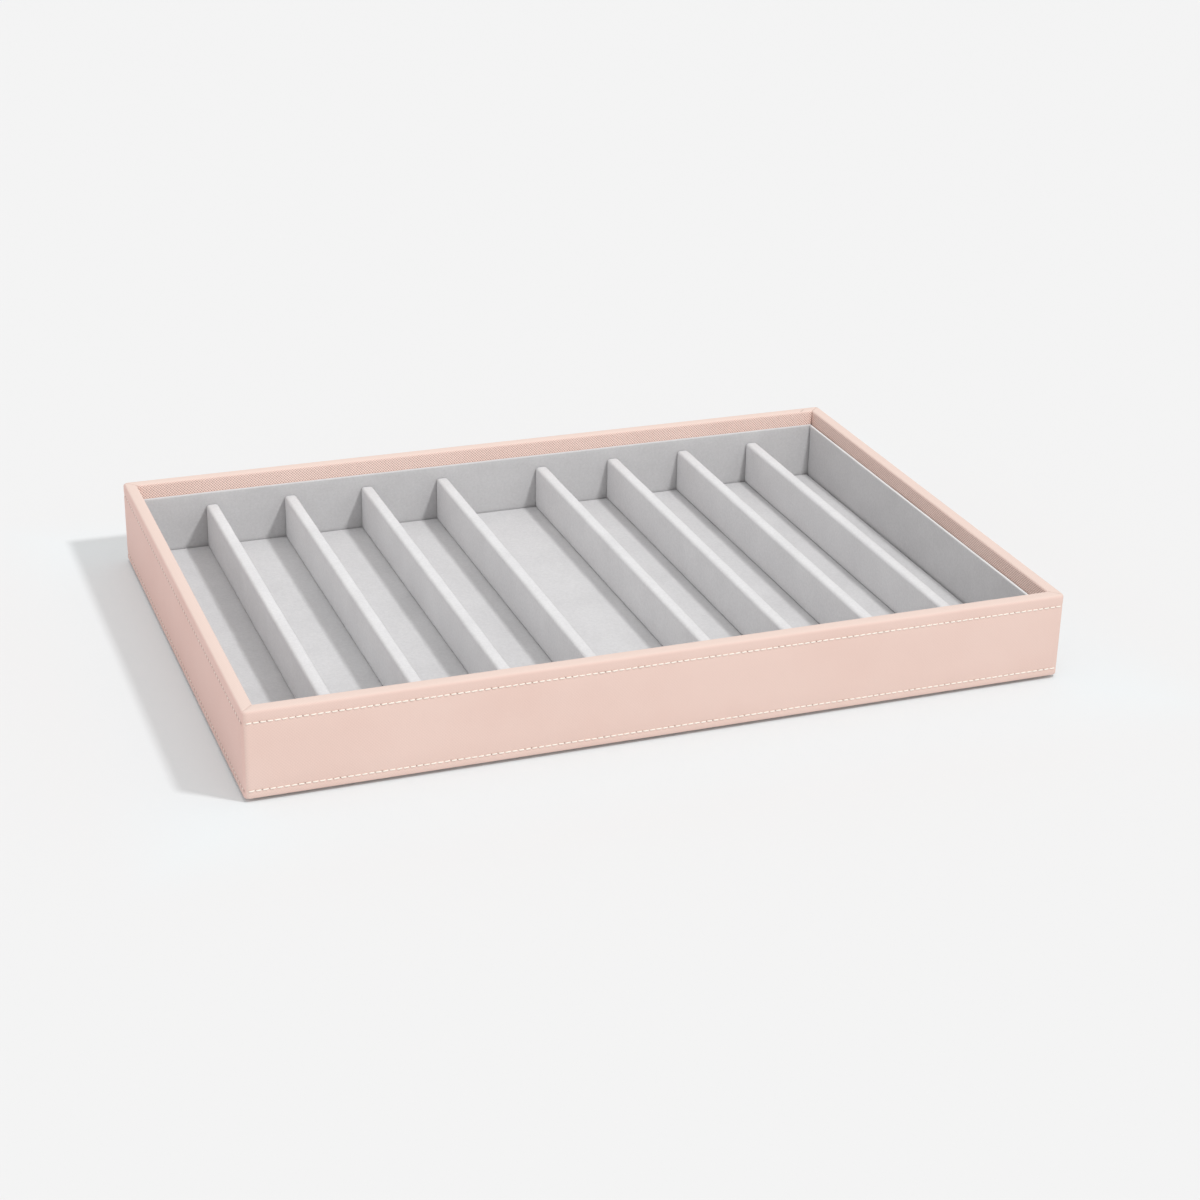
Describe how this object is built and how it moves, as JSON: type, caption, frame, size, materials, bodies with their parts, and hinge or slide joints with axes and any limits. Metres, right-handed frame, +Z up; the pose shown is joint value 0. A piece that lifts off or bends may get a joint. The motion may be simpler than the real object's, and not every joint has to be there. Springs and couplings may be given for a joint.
{
  "type": "jewelry tray",
  "caption": "Low rectangular tray covered in stitched leatherette, with a velvet-lined well parted by fixed velvet dividers that run from front to back.",
  "frame": {"origin": "centre of the underside, on the surface that the tray stands on", "axes": "+X along the long side, +Y from front to back, +Z up out of the compartments"},
  "size_m": [0.365, 0.255, 0.0402],
  "materials": {
    "leatherette": "blush pink leatherette with a fine cross-hatched grain, satin",
    "velvet": "light grey short-pile velvet",
    "board": "bare fibreboard and grey card",
    "thread": "cream twisted sewing thread"
  },
  "bodies": {
    "root": {"outer_wrap": "leatherette", "front_wall_board": "board", "back_wall_board": "board", "left_wall_board": "board", "right_wall_board": "board", "base_board": "board", "base_card": "board", "base_velvet": "velvet", "front_liner_card": "board", "front_liner_velvet": "velvet", "back_liner_card": "board", "back_liner_velvet": "velvet", "left_liner_card": "board", "left_liner_velvet": "velvet", "right_liner_card": "board", "right_liner_velvet": "velvet", "floor_card": "board", "floor_velvet": "velvet", "divider_1_board": "board", "divider_1_velvet": "velvet", "divider_2_board": "board", "divider_2_velvet": "velvet", "divider_3_board": "board", "divider_3_velvet": "velvet", "divider_4_board": "board", "divider_4_velvet": "velvet", "divider_5_board": "board", "divider_5_velvet": "velvet", "divider_6_board": "board", "divider_6_velvet": "velvet", "divider_7_board": "board", "divider_7_velvet": "velvet", "divider_8_board": "board", "divider_8_velvet": "velvet"}
  },
  "joints": []
}
